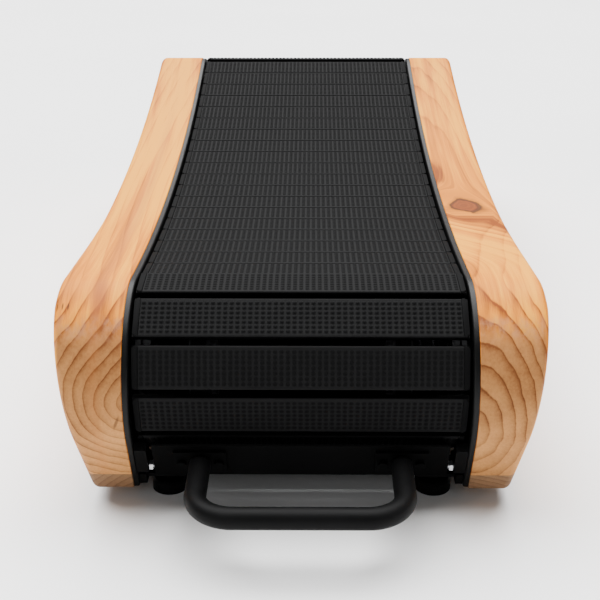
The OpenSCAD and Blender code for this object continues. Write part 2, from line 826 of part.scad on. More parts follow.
module wheel() {
    r = wheel_d / 2;
    half = wheel_w / 2;
    bore = wheel_bolt_d / 2 + bore_gap;
    rim = r - 2 * wheel_recess;
    color([0.12, 0.12, 0.13]) translate([wheel_x, wheel_place[0], wheel_place[1]]) rotate([0, 90, 0])
        rotate_extrude() polygon([
            [bore, -half], [wheel_hub_r, -half], [wheel_hub_r, -half + wheel_recess],
            [rim, -half + wheel_recess], [rim, -half], [r - wheel_chamfer, -half],
            [r, -half + wheel_chamfer], [r, half - wheel_chamfer], [r - wheel_chamfer, half],
            [rim, half], [rim, half - wheel_recess], [wheel_hub_r, half - wheel_recess],
            [wheel_hub_r, half], [bore, half]]);
}

// ---------- nodes ----------

on_left() side_panel();  // side_panel_left
side_panel();  // side_panel_right
on_left() base_board();  // base_board_left
base_board();  // base_board_right
on_left() side_plate();  // side_plate_left
side_plate();  // side_plate_right
on_left() edge_trim();  // edge_trim_left
edge_trim();  // edge_trim_right
on_left() roller_rail();  // roller_rail_left
roller_rail();  // roller_rail_right
roller_bolts();
panel_screws();
cross_plate(rear_cross, rear_shaft, rear_corner_bolt);  // rear_cross_plate
cross_plate(front_cross, front_shaft, front_corner_bolt);  // front_cross_plate
cross_beams();
beam_bolts();
corner_blocks();
corner_bolts();
corner_nuts();
lift_handle();
handle_flanges();
handle_bolts();
bearing_housings();
shaft_bearings();
housing_bolts();
shaft_bar(rear_shaft);  // rear_shaft_bar
on_left() belt_pulley(rear_shaft);  // rear_pulley_left
belt_pulley(rear_shaft);  // rear_pulley_right
sync_pulley(rear_shaft);  // rear_sync_pulley
shaft_bar(front_shaft);  // front_shaft_bar
on_left() belt_pulley(front_shaft);  // front_pulley_left
belt_pulley(front_shaft);  // front_pulley_right
sync_pulley(front_shaft);  // front_sync_pulley
on_left() carrier_belt();  // carrier_belt_left
carrier_belt();  // carrier_belt_right
timing_belt();
slat_carriers();
slat_treads();
slat_screws();
foot_plates();
foot_nuts();
foot(foot_places[0]);  // foot_rear_left
foot(foot_places[1]);  // foot_rear_right
foot(foot_places[2]);  // foot_front_left
foot(foot_places[3]);  // foot_front_right
wheel_axles();
on_left() wheel();  // wheel_left
wheel();  // wheel_right
for (i = [0 : roller_stations - 1]) rollers(i);
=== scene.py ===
"""Looks of a curved manual treadmill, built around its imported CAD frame. Everything is in metres."""

import json
import math

import bmesh
import bpy
import numpy as np
from mathutils import Matrix, Vector

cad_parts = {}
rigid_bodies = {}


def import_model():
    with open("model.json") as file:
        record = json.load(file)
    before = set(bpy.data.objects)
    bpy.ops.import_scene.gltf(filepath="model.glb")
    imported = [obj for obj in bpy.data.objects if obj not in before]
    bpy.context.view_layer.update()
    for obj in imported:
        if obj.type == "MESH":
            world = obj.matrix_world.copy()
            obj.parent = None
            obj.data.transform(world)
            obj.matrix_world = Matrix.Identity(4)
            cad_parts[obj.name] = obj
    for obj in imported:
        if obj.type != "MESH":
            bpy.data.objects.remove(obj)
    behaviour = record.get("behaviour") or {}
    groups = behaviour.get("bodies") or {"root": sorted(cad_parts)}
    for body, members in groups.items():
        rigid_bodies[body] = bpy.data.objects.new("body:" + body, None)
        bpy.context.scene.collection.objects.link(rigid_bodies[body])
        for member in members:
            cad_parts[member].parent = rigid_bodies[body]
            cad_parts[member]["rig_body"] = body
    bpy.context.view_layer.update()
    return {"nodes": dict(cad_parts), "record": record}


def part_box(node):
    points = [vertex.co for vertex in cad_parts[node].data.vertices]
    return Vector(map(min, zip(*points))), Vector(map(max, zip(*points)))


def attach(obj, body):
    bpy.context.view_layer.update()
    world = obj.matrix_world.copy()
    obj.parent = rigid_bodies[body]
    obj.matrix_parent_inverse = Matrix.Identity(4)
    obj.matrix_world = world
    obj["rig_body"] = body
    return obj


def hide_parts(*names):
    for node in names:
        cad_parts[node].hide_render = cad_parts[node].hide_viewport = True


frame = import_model()

RECORD = frame["record"]
NODES = frame["nodes"]
SLOT_OF = {part["node"]: part["material_slot"] for part in RECORD["subparts"]}
AXIS_OF = {joint["name"]: Vector(joint["pos_m"]) for joint in RECORD["behaviour"]["joints"]
           if "pos_m" in joint}
REAR_SHAFT = AXIS_OF["rear_shaft_turn"]
FRONT_SHAFT = AXIS_OF["front_shaft_turn"]
MM = 0.001


# ---------- camera ----------

LENS, SENSOR_WIDTH = 70.8, 36
CAMERA_PLACE = (0.0141, -1.9813, 0.9205)
LOOK_DOWN, YAW, ROLL = math.radians(24.03), math.radians(0.62), math.radians(-0.14)


def make_camera():
    """The photograph's view: behind the rear end, looking down along the belt."""
    camera = bpy.data.cameras.new("camera")
    camera.lens = LENS
    camera.sensor_width = SENSOR_WIDTH
    holder = bpy.data.objects.new("camera", camera)
    holder.location = CAMERA_PLACE
    aim = Matrix.Rotation(YAW, 4, "Z") @ Matrix.Rotation(math.pi / 2 - LOOK_DOWN, 4, "X")
    holder.rotation_euler = (aim @ Matrix.Rotation(ROLL, 4, "Z")).to_euler()
    bpy.context.collection.objects.link(holder)
    bpy.context.scene.camera = holder


make_camera()


# ---------- shader graphs ----------

class Graph:
    """A material's node tree, with one short call for each kind of node."""

    def __init__(self, name):
        self.material = bpy.data.materials.new(name)
        self.material.use_nodes = True
        self.tree = self.material.node_tree
        self.shader = self.tree.nodes["Principled BSDF"]
        self.coords = self.tree.nodes.new("ShaderNodeTexCoord")

    def plug(self, value, socket):
        if isinstance(value, bpy.types.NodeSocket):
            self.tree.links.new(value, socket)
        elif value is not None:
            socket.default_value = value

    def math(self, operation, a, b=None, c=None):
        node = self.tree.nodes.new("ShaderNodeMath")
        node.operation = operation
        for value, socket in zip((a, b, c), node.inputs):
            self.plug(value, socket)
        return node.outputs[0]

    def vector(self, operation, a, b=None):
        node = self.tree.nodes.new("ShaderNodeVectorMath")
        node.operation = operation
        self.plug(a, node.inputs[0])
        self.plug(b, node.inputs[1])
        return node.outputs["Value" if operation in ("LENGTH", "DOT_PRODUCT") else "Vector"]

    def split(self, vector):
        node = self.tree.nodes.new("ShaderNodeSeparateXYZ")
        self.plug(vector, node.inputs[0])
        return node.outputs

    def join(self, x, y, z):
        node = self.tree.nodes.new("ShaderNodeCombineXYZ")
        for value, socket in zip((x, y, z), node.inputs):
            self.plug(value, socket)
        return node.outputs[0]

    def noise(self, vector, scale, detail=2.0, roughness=0.5):
        node = self.tree.nodes.new("ShaderNodeTexNoise")
        self.plug(vector, node.inputs["Vector"])
        node.inputs["Scale"].default_value = scale
        node.inputs["Detail"].default_value = detail
        node.inputs["Roughness"].default_value = roughness
        return node.outputs["Fac"]

    def stretched(self, scales, shift=(0, 0, 0)):
        """Object coordinates scaled by a different amount along each axis."""
        moved = self.vector("ADD", self.coords.outputs["Object"], shift)
        return self.vector("MULTIPLY", moved, scales)

    def ramp(self, value, stops):
        node = self.tree.nodes.new("ShaderNodeValToRGB")
        self.plug(value, node.inputs[0])
        elements = node.color_ramp.elements
        while len(elements) < len(stops):
            elements.new(1)
        for element, (place, shade) in zip(elements, stops):
            element.position = place
            element.color = shade if isinstance(shade, tuple) else (shade, shade, shade, 1)
        return node.outputs["Color"]

    def level(self, value, low, high):
        """0 below low, 1 above high, and a smooth step between them."""
        node = self.tree.nodes.new("ShaderNodeMapRange")
        node.interpolation_type = "SMOOTHSTEP"
        self.plug(value, node.inputs["Value"])
        node.inputs["From Min"].default_value = low
        node.inputs["From Max"].default_value = high
        return node.outputs["Result"]

    def mix(self, amount, a, b):
        node = self.tree.nodes.new("ShaderNodeMix")
        node.data_type = "RGBA"
        self.plug(amount, node.inputs["Factor"])
        self.plug(a, node.inputs["A"])
        self.plug(b, node.inputs["B"])
        return node.outputs["Result"]

    def bump(self, height, strength, distance):
        node = self.tree.nodes.new("ShaderNodeBump")
        node.inputs["Strength"].default_value = strength
        node.inputs["Distance"].default_value = distance
        self.plug(height, node.inputs["Height"])
        self.tree.links.new(node.outputs[0], self.shader.inputs["Normal"])

    def set(self, **values):
        for name, value in values.items():
            self.plug(value, self.shader.inputs[name.replace("_", " ").title()])

    def gloss(self, level):
        """How much light the surface throws back: 0.5 is usual, and 0 is none."""
        self.shader.inputs["Specular IOR Level"].default_value = level


def rgb(r, g, b):
    """A colour given as it looks on a screen, from 0 to 255, as linear light."""
    def linear(value):
        value /= 255
        return value / 12.92 if value <= 0.04045 else ((value + 0.055) / 1.055) ** 2.4
    return (linear(r), linear(g), linear(b), 1)


# ---------- wood ----------

def oval(g, place, across, along, turn=0.0, point=0.0):
    """How far a point is from an oval's middle: 0 there and 1 on its edge. Axes 0, 1, 2 are X, Y, Z.

    point above 0 draws the oval's low end out to the tip of a leaf.
    """
    parts = g.split(g.coords.outputs["Object"])
    (axis_a, half_a), (axis_b, half_b) = across, along
    a = g.math("SUBTRACT", parts[axis_a], place[axis_a])
    b = g.math("SUBTRACT", parts[axis_b], place[axis_b])
    cos, sin = math.cos(turn), math.sin(turn)
    u = g.math("ADD", g.math("MULTIPLY", a, cos / half_a), g.math("MULTIPLY", b, sin / half_a))
    v = g.math("SUBTRACT", g.math("MULTIPLY", b, cos / half_b), g.math("MULTIPLY", a, sin / half_b))
    if point:
        v = g.math("MULTIPLY", v, g.math("MULTIPLY_ADD", g.math("MINIMUM", u, 0.0), -point, 1.0))
    return g.vector("LENGTH", g.join(u, v, 0.0))


def flow_round(g, x, place, distance):
    """Moves the grain's lines aside, so that they run round a knot."""
    clear = g.math("MAXIMUM", distance, 1.0)
    share = g.math("SUBTRACT", 1.0, g.math("DIVIDE", 1.0, g.math("MULTIPLY", clear, clear)))
    aside = g.math("MULTIPLY", g.math("SUBTRACT", x, place[0]), share)
    return g.math("ADD", aside, place[0])


def wood(name, pith, seed, tones, ring, grow=0.0, tall=1.0, stretch=None, warp=0.02, knot=None,
         shear=None, marks=()):
    """Solid timber with its growth rings round a pith that runs along Y.

    tones are the long grain's pale, middle and dark colours, then the end grain's pale and dark ones.
    grow makes the rings narrower away from the pith, tall under 1 makes them higher than wide, and
    stretch draws them out in one direction. warp is how far they wander, shear leads the long grain
    aside between two places along Y, and marks are soft spots of another colour.
    """
    g = Graph(name)
    pale, middle, dark, end_pale, end_dark = tones
    x, y, z = g.split(g.coords.outputs["Object"])
    steep = g.math("ABSOLUTE", g.split(g.coords.outputs["Normal"])[1])
    end = g.level(steep, 0.5, 0.82)
    if knot:
        near = oval(g, knot["place"], (0, knot["flow"][0]), (1, knot["flow"][1]), knot["turn"])
        x = flow_round(g, x, knot["place"], near)

    # Growth rings, with a gradual rise to the dark latewood and a sudden end
    wander = g.noise(g.stretched((11, 1.1, 9), seed), 1.0, 2)
    ripple = g.noise(g.stretched((46, 2.5, 46), seed), 1.0, 3)
    off_x = g.math("SUBTRACT", x, pith[0])
    off_z = g.math("MULTIPLY", g.math("SUBTRACT", z, pith[1]), tall)
    if stretch:
        angle, share = stretch
        cos, sin = math.cos(angle), math.sin(angle)
        u = g.math("ADD", g.math("MULTIPLY", off_x, cos), g.math("MULTIPLY", off_z, sin))
        v = g.math("SUBTRACT", g.math("MULTIPLY", off_z, cos), g.math("MULTIPLY", off_x, sin))
        beyond = g.math("MULTIPLY", g.math("MAXIMUM", u, 0.0), share)
        off_x = g.math("ADD", beyond, g.math("MINIMUM", u, 0.0))
        off_z = v
    distance = g.vector("LENGTH", g.join(off_x, 0.0, off_z))
    distance = g.math("ADD", distance, g.math("MULTIPLY", g.math("SUBTRACT", wander, 0.5), warp))
    distance = g.math("ADD", distance,
                      g.math("MULTIPLY", g.math("SUBTRACT", ripple, 0.5), ring * RIPPLE_SHARE))
    count = g.math("DIVIDE", distance, ring)
    count = g.math("MULTIPLY", count, g.math("MULTIPLY_ADD", distance, grow, 1.0))
    late = g.ramp(g.math("FRACT", count), LATEWOOD)
    late = g.math("MULTIPLY", late, g.math("MULTIPLY_ADD", wander, 1.6, 0.1))

    # Long grain: broad bands, stripes and fibres, all drawn out along the board
    drawn_x = g.math("ADD", x, seed[0])
    if shear:
        start, stop, aside = shear
        drawn_x = g.math("ADD", drawn_x, g.math("MULTIPLY", g.level(y, start, stop), aside))
    along = g.join(drawn_x, g.math("ADD", y, seed[1]), g.math("ADD", z, seed[2]))
    broad = g.noise(g.vector("MULTIPLY", along, (22, 1.0, 7)), 1.0, 2)
    stripe = g.noise(g.vector("MULTIPLY", along, (120, 2.2, 22)), 1.0, 3, 0.6)
    fibre = g.noise(g.vector("MULTIPLY", along, (620, 9, 130)), 1.0, 3, 0.65)
    tone = g.math("MULTIPLY_ADD", g.math("SUBTRACT", broad, 0.5), 2.3, 0.34)
    tone = g.math("MULTIPLY_ADD", g.math("SUBTRACT", stripe, 0.5), 1.0, tone)
    tone = g.math("MULTIPLY_ADD", g.math("SUBTRACT", fibre, 0.5), 0.4, tone)
    tone = g.math("MULTIPLY_ADD", late, g.math("MULTIPLY_ADD", g.level(steep, 0.15, 0.5), 0.5, 0.3), tone)
    long_grain = g.ramp(tone, [(0.15, pale), (0.45, middle), (0.95, dark)])

    # End grain: the rings in section, with fine rays and scattered dark pores
    rays = g.noise(g.stretched((260, 20, 260), seed), 1.0, 3, 0.65)
    pores = g.noise(g.stretched((950, 200, 950), seed), 1.0, 1)
    cloud = g.noise(g.stretched((18, 4, 18), seed), 1.0, 3)
    section = g.math("MULTIPLY_ADD", late, 0.5, g.math("MULTIPLY_ADD", cloud, 0.6, -0.12))
    section = g.math("MULTIPLY_ADD", g.math("SUBTRACT", rays, 0.5), 0.4, section)
    heartwood = g.level(g.math("MULTIPLY_ADD", g.math("SUBTRACT", cloud, 0.5), 0.1, z), *HEARTWOOD)
    section = g.math("MULTIPLY_ADD", heartwood, 0.3, section)
    end_grain = g.ramp(section, [(0.05, end_pale), (0.85, end_dark)])
    end_grain = g.mix(g.math("MULTIPLY", g.level(pores, 0.7, 0.8), 0.65), end_grain, end_dark)
    colour = g.mix(end, long_grain, end_grain)

    # Torn fibres on the shoulder, where the saw leaves the long grain for the end grain
    shoulder = g.math("MULTIPLY", g.level(steep, 0.5, 0.62),
                      g.math("SUBTRACT", 1.0, g.level(steep, 0.66, 0.8)))
    patchy = g.noise(g.stretched((90, 40, 60), seed), 1.0, 4, 0.7)
    torn = g.math("MULTIPLY", shoulder, g.level(patchy, 0.4, 0.65))
    colour = g.mix(g.math("MULTIPLY", torn, 0.5), colour, TORN_FIBRES)

    if knot:
        core = oval(g, knot["place"], (0, knot["size"][0]), (1, knot["size"][1]), knot["turn"], 1.2)
        ragged = g.noise(g.stretched((60, 40, 20), seed), 1.0, 3)
        edge = g.math("MULTIPLY_ADD", g.math("SUBTRACT", ragged, 0.5), 0.6, core)
        circles = g.math("SINE", g.math("MULTIPLY", edge, 17.0))
        heart = g.mix(g.math("MULTIPLY_ADD", circles, 0.2, 0.35), knot["pale"], knot["dark"])
        rim = g.ramp(g.math("MULTIPLY", edge, 0.5), KNOT_RIM)
        colour = g.mix(g.math("SUBTRACT", 1.0, g.level(edge, 0.86, 1.04)), colour, heart)
        colour = g.mix(rim, colour, knot["rim"])
    for mark in marks:
        spot = oval(g, mark["place"], mark["across"], mark["along"], mark.get("turn", 0.0))
        soft = g.math("MULTIPLY_ADD", g.math("SUBTRACT", ripple, 0.5), 0.5, spot)
        amount = g.math("MULTIPLY", g.math("SUBTRACT", 1.0, g.level(soft, *mark["edge"])), mark["depth"])
        colour = g.mix(amount, colour, mark["colour"])

    g.set(base_color=colour, roughness=g.math("MULTIPLY_ADD", stripe, 0.16, 0.42))
    g.gloss(WOOD_GLOSS)
    relief = g.math("ADD", g.math("MULTIPLY", fibre, g.math("SUBTRACT", 1.0, end)),
                    g.math("MULTIPLY", rays, end))
    g.bump(relief, 0.3, 0.0004)
    return g.material


PINE = (rgb(224, 148, 28), rgb(203, 120, 22), rgb(124, 60, 14), rgb(200, 142, 84), rgb(104, 60, 32))
BASE_PINE = (rgb(162, 122, 82), rgb(136, 102, 70), rgb(88, 62, 46), rgb(142, 108, 78), rgb(78, 56, 42))
TORN_FIBRES = rgb(176, 126, 92)
# The ends darken between these heights
HEARTWOOD = (0.09, 0.23)
WOOD_GLOSS = 0.05
# How far the small ripples push a ring aside, in rings
RIPPLE_SHARE = 0.3
# How dark the wood is across one ring, and across half of a knot and its rim
LATEWOOD = [(0.0, 0.3), (0.05, 0.02), (0.4, 0.06), (0.7, 0.3), (0.88, 0.62), (0.94, 1.0),
            (0.975, 0.85), (1.0, 0.3)]
KNOT_RIM = [(0.0, 0.1), (0.34, 0.0), (0.44, 0.6), (0.5, 0.9), (0.56, 0.35), (0.72, 0.0)]


def panel_wood_right():
    knot = {"place": (0.265, -0.14, 0.262), "size": (0.026, 0.036), "flow": (0.038, 0.085),
            "turn": 0.25, "pale": rgb(128, 66, 26), "dark": rgb(98, 48, 22), "rim": rgb(40, 27, 22)}
    return wood("panel wood right", pith=(0.226, 0.14), seed=(3.1, 0.7, 5.3), tones=PINE, knot=knot,
                ring=0.022, grow=4.0, tall=0.6, warp=0.016, shear=(-0.46, -0.13, 0.2))


def panel_wood_left():
    streak = {"place": (-0.267, -0.2, 0.3), "across": (0, 0.010), "along": (1, 0.5), "edge": (0.3, 1.5),
              "depth": 0.4, "colour": rgb(172, 104, 52)}
    scorch = {"place": (-0.267, -0.555, 0.3), "across": (0, 0.009), "along": (1, 0.035), "edge": (0.3, 1.5),
              "depth": 0.6, "colour": rgb(158, 86, 38)}
    shake = {"place": (-0.240, -0.64, 0.150), "across": (0, 0.0025), "along": (2, 0.012), "turn": -0.35,
             "edge": (0.4, 1.1), "depth": 0.6, "colour": rgb(66, 44, 36)}
    ticks = [{"place": (x, -0.575, 0.28), "across": (0, 0.0012), "along": (1, 0.006), "edge": (0.5, 1.2),
              "depth": 0.8, "colour": rgb(60, 36, 24)} for x in (-0.3195, -0.3125, -0.305)]
    return wood("panel wood left", pith=(-0.222, 0.18), seed=(7.9, 2.2, 1.4), tones=PINE, ring=0.0145,
                stretch=(math.radians(50), 0.22), warp=0.026, marks=(streak, scorch, shake, *ticks))


def base_wood(side):
    return wood("base wood " + side, pith=(0.1, -0.35), seed=(len(side), 4.4, 2.8), tones=BASE_PINE,
                ring=0.009)


# ---------- other finishes ----------

def black_coat(name, shades, gloss, rough=0.34):
    """Baked or anodised black, with a faint pebbled skin and a little dust."""
    g = Graph(name)
    skin = g.noise(g.stretched((1, 1, 1)), 900, 2)
    dust = g.noise(g.stretched((1, 1, 1)), 14, 4, 0.6)
    low, high = shades
    g.set(base_color=g.ramp(dust, [(0.35, (low, low, low * 1.05, 1)), (0.75, (high, high, high * 1.04, 1))]),
          roughness=g.math("MULTIPLY_ADD", dust, 0.22, rough))
    g.gloss(gloss)
    g.bump(skin, 0.25, 0.0003)
    return g.material


def rubber(name, shades, rough, grain, gloss, valley=None):
    """Dull rubber. On a tread, the valley between the studs, below the given height, is painted paler:
    partly dust, partly painted highlight.
    """
    g = Graph(name)
    fine = g.noise(g.stretched((1, 1, 1)), grain, 3, 0.6)
    wear = g.noise(g.stretched((1, 1, 1)), 22, 4, 0.6)
    shade = g.math("ADD", g.math("MULTIPLY", fine, 0.35), g.math("MULTIPLY", wear, 0.65))
    if valley:
        z = g.split(g.coords.outputs["Object"])[2]
        # Paler valleys between the studs: partly dust, partly painted highlight
        dust_and_highlight = g.math("SUBTRACT", 1.0, g.level(z, *valley))
        shade = g.math("ADD", g.math("MULTIPLY", shade, 0.5), g.math("MULTIPLY", dust_and_highlight, 0.4))
    low, high = shades
    g.set(base_color=g.ramp(shade, [(0.3, (low, low, low * 1.03, 1)), (0.7, (high, high, high * 1.02, 1))]),
          roughness=g.math("MULTIPLY_ADD", wear, 0.15, rough))
    g.gloss(gloss)
    g.bump(fine, 0.3, 0.0003)
    return g.material


def brushed(name, colour, rough, lines, metallic=1.0):
    """Metal with fine lines drawn along the axis in which lines is smallest."""
    g = Graph(name)
    brush = g.noise(g.stretched(lines), 1.0, 3, 0.6)
    stain = g.noise(g.stretched((1, 1, 1)), 30, 3)
    shade = g.math("ADD", g.math("MULTIPLY", brush, 0.5), g.math("MULTIPLY", stain, 0.5))
    darker = tuple(part * 0.72 for part in colour[:3]) + (1,)
    g.set(base_color=g.ramp(shade, [(0.3, darker), (0.7, colour)]),
          roughness=g.math("MULTIPLY_ADD", brush, 0.2, rough), metallic=metallic)
    g.bump(brush, 0.15, 0.0001)
    return g.material


def cast_iron():
    g = Graph("housing iron")
    lumps = g.noise(g.stretched((1, 1, 1)), 260, 4, 0.6)
    g.set(base_color=g.ramp(lumps, [(0.3, (0.012, 0.012, 0.013, 1)), (0.7, (0.025, 0.026, 0.028, 1))]),
          roughness=g.math("MULTIPLY_ADD", lumps, 0.2, 0.5), metallic=0.4)
    g.bump(lumps, 0.5, 0.0006)
    return g.material


def moulded(name, shade, rough):
    """Plain moulded plastic with a fine spark-eroded texture."""
    g = Graph(name)
    spark = g.noise(g.stretched((1, 1, 1)), 1100, 2)
    scuff = g.noise(g.stretched((1, 1, 1)), 40, 4, 0.65)
    low, high = shade
    g.set(base_color=g.ramp(scuff, [(0.35, (low, low, low, 1)), (0.75, (high, high, high, 1))]),
          roughness=g.math("MULTIPLY_ADD", scuff, 0.2, rough))
    g.bump(spark, 0.3, 0.0002)
    return g.material


FINISH = {
    "black_steel": black_coat("black steel", (0.002, 0.004), 0.03),
    "trim_rubber": rubber("trim rubber", (0.001, 0.003), 0.36, 700, 0.14),
    "belt_rubber": rubber("belt rubber", (0.002, 0.004), 0.6, 500, 0.04),
    # The tread's valleys between its studs are painted paler: partly dust, partly painted highlight
    "tread_rubber": rubber("tread rubber", (0.0048, 0.0108), 0.58, 600, 0.02, (1.9 * MM, 2.9 * MM)),
    "foot_rubber": rubber("foot rubber", (0.001, 0.003), 0.5, 600, 0.05),
    "slat_aluminium": black_coat("slat aluminium", (0.001, 0.0025), 0.04, 0.3),
    "wheel_plastic": moulded("wheel plastic", (0.006, 0.012), 0.4),
    "roller_plastic": moulded("roller plastic", (0.02, 0.035), 0.35),
    "zinc_steel": brushed("zinc steel", (0.62, 0.63, 0.65, 1), 0.24, (500, 500, 60)),
    "bright_steel": brushed("bright steel", (0.66, 0.66, 0.67, 1), 0.16, (30, 700, 700)),
    "pulley_aluminium": brushed("pulley aluminium", (0.05, 0.05, 0.055, 1), 0.4, (900, 60, 60), 0.6),
    "housing_iron": cast_iron(),
}
BLACK_SCREW = black_coat("black screws", (0.002, 0.005), 0.1, 0.3)
BLACK_SHAFT = brushed("blackened shaft", (0.05, 0.05, 0.055, 1), 0.5, (30, 700, 700), 0.6)
# A darker, duller copy of the black coat: painted shade on the rear cross plate, the handle flanges and the
# handle bolts
PAINTED_SHADE_COAT = black_coat("painted shade coat", (0.001, 0.002), 0.02, 0.45)
OWN_FINISH = {
    "side_panel_right": panel_wood_right(),
    "side_panel_left": panel_wood_left(),
    "base_board_right": base_wood("right"),
    "base_board_left": base_wood("left"),
    "slat_screws": BLACK_SCREW,
    "roller_bolts": BLACK_SCREW,
    "handle_bolts": PAINTED_SHADE_COAT,
    "handle_flanges": PAINTED_SHADE_COAT,
    "rear_cross_plate": PAINTED_SHADE_COAT,
    "housing_bolts": BLACK_SCREW,
    "rear_shaft_bar": BLACK_SHAFT,
    "front_shaft_bar": BLACK_SHAFT,
    "lift_handle": black_coat("handle steel", (0.002, 0.004), 0.06, 0.4),
}


def finish_of(node):
    return OWN_FINISH.get(node) or FINISH[SLOT_OF[node]]


# ---------- pieces made from the CAD shapes ----------

WELD = 0.01 * MM
# Angles in degrees: faces flatter than the first are joined, and edges sharper than the second show
FLAT, PIECE_SMOOTH = 0.3, 40


def welded(node):
    """A CAD node's shape, with its flat and smoothly curved faces joined up."""
    shape = bmesh.new()
    shape.from_mesh(NODES[node].data)
    bmesh.ops.remove_doubles(shape, verts=shape.verts, dist=WELD)
    bmesh.ops.dissolve_limit(shape, angle_limit=math.radians(FLAT), verts=shape.verts, edges=shape.edges)
    return shape


def add_piece(name, mesh, node):
    """Puts a new piece in a CAD node's place, on that node's body and with its slot."""
    mesh.materials.clear()
    mesh.materials.append(finish_of(node))
    mesh.shade_smooth()
    mesh.set_sharp_from_angle(angle=math.radians(PIECE_SMOOTH))
    piece = bpy.data.objects.new(name, mesh)
    bpy.context.collection.objects.link(piece)
    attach(piece, NODES[node]["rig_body"])
    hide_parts(node)
    return piece


def weighted(piece):
    """Keeps flat faces flat beside their rounded edges."""
    piece.modifiers.new("normals", "WEIGHTED_NORMAL").keep_sharp = True


def to_mesh(shape, name):
    mesh = bpy.data.meshes.new(name)
    shape.to_mesh(mesh)
    shape.free()
    return mesh


def round_off(shape, edges, size, segments, clamp=True):
    bmesh.ops.bevel(shape, geom=edges, offset=size, offset_type="OFFSET", segments=segments,
                    profile=0.5, affect="EDGES", clamp_overlap=clamp)


# ---------- timber and trims with rounded edges ----------

GLUE_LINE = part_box("side_panel_right")[0].z
INNER_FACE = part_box("side_panel_right")[0].x
# Between the inner rim and the outer one, and how closely an edge lies on a line
RIM_PARTING, TOUCH = 20 * MM, 0.1 * MM
OUTER_RIM_R, INNER_RIM_R, TRIM_LIP_R = 11 * MM, 1.5 * MM, 3 * MM


def on_glue_line(edge):
    return all(abs(vert.co.z - GLUE_LINE) < TOUCH for vert in edge.verts)


def is_rim(edge, outer):
    """True for an edge between a side's rim and its outer face, or its inner one."""
    sideways = sorted(abs(face.normal.x) for face in edge.link_faces)
    if sideways[0] > 0.4 or sideways[1] < 0.9 or on_glue_line(edge):
        return False
    middle = abs(sum(vert.co.x for vert in edge.verts) / 2)
    return (middle > INNER_FACE + RIM_PARTING) == outer


def is_side_crease(edge):
    """True for a faint line across a side's outer or inner face."""
    return all(abs(face.normal.x) > 0.97 for face in edge.link_faces)


def timber(node):
    """A timber side with its outer rim well rounded and its inner rim eased."""
    shape = welded(node)
    creases = [edge for edge in shape.edges if edge.is_manifold and is_side_crease(edge)]
    bmesh.ops.dissolve_edges(shape, edges=creases, use_verts=True)
    for outer, size, segments in ((True, OUTER_RIM_R, 6), (False, INNER_RIM_R, 2)):
        rim = [edge for edge in shape.edges if edge.is_manifold and is_rim(edge, outer)]
        round_off(shape, rim, size, segments, clamp=False)
    weighted(add_piece(node.replace("side_panel", "timber_side").replace("base_board", "timber_base"),
                       to_mesh(shape, node), node))


def make_timber():
    for side in ("left", "right"):
        timber("side_panel_" + side)
        timber("base_board_" + side)


TRIM_LOW, TRIM_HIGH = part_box("edge_trim_right")
TRIM_MIDDLE = (TRIM_LOW + TRIM_HIGH) / 2


def is_trim_lip(edge):
    """True for the trim's long edge that shows: the outer one, on the side of the belt."""
    if any(abs(abs(vert.co.x) - TRIM_LOW.x) > TOUCH for vert in edge.verts):
        return False
    rim = min(edge.link_faces, key=lambda face: abs(face.normal.x))
    return abs(rim.normal.x) < 0.4 and rim.normal.yz.dot(edge.verts[0].co.yz - TRIM_MIDDLE.yz) > 0


def make_trims():
    for side in ("left", "right"):
        shape = welded("edge_trim_" + side)
        lips = [edge for edge in shape.edges if edge.is_manifold and is_trim_lip(edge)]
        round_off(shape, lips, TRIM_LIP_R, 5)
        weighted(add_piece("edge_strip_" + side, to_mesh(shape, "edge_strip"), "edge_trim_" + side))


# ---------- slat treads ----------

STUD_ROWS, STUD_COLUMNS = 7, 51
ROW_PITCH, COLUMN_PITCH = 7.05 * MM, 8.26 * MM
STUD_FOOT_R, STUD_TOP_R, STUD_SIDES = 3.2 * MM, 2.4 * MM, 8
LIP_R, LIP_STEPS = 2.0 * MM, 4
# Height of the slab between its studs and of its end caps, as shares of a tread's height
SLAB_SHARE, CAP_SHARE = 0.62, 0.9
# Steepest corner, in degrees, that still looks round
STUD_SMOOTH = 70
CAP_GAP, CAP_CHAMFER, CAP_EDGE = 0.8 * MM, 4.0 * MM, 0.6 * MM


def solids(node):
    """The vertices of each separate solid of a CAD node, as arrays of places."""
    shape = welded(node)
    left = set(shape.verts)
    groups = []
    while left:
        group, edge_of = set(), [left.pop()]
        while edge_of:
            vert = edge_of.pop()
            group.add(vert)
            for edge in vert.link_edges:
                other = edge.other_vert(vert)
                if other in left:
                    left.remove(other)
                    edge_of.append(other)
        groups.append(np.array([vert.co for vert in group]))
    shape.free()
    return groups


def pad_frame(points):
    """Middle of a tread's inner face, its directions across and out of the belt, and its three sizes."""
    middle = points.mean(0)
    flat = points[:, 1:] - middle[1:]
    back = np.linalg.svd(flat, full_matrices=False)[2][0]
    out = np.array([back[1], -back[0]])
    line = np.array(FRONT_SHAFT.yz) - np.array(REAR_SHAFT.yz)
    from_rear = middle[1:] - np.array(REAR_SHAFT.yz)
    share = np.clip(np.dot(from_rear, line) / np.dot(line, line), 0, 1)
    if np.dot(from_rear - share * line, out) < 0:
        out = -out
    length = np.ptp(points[:, 0])
    width, height = np.ptp(flat @ back), np.ptp(flat @ out)
    foot = middle[1:] - out * height / 2
    return Vector((0, *foot)), Vector((0, *out)), (length, width, height)


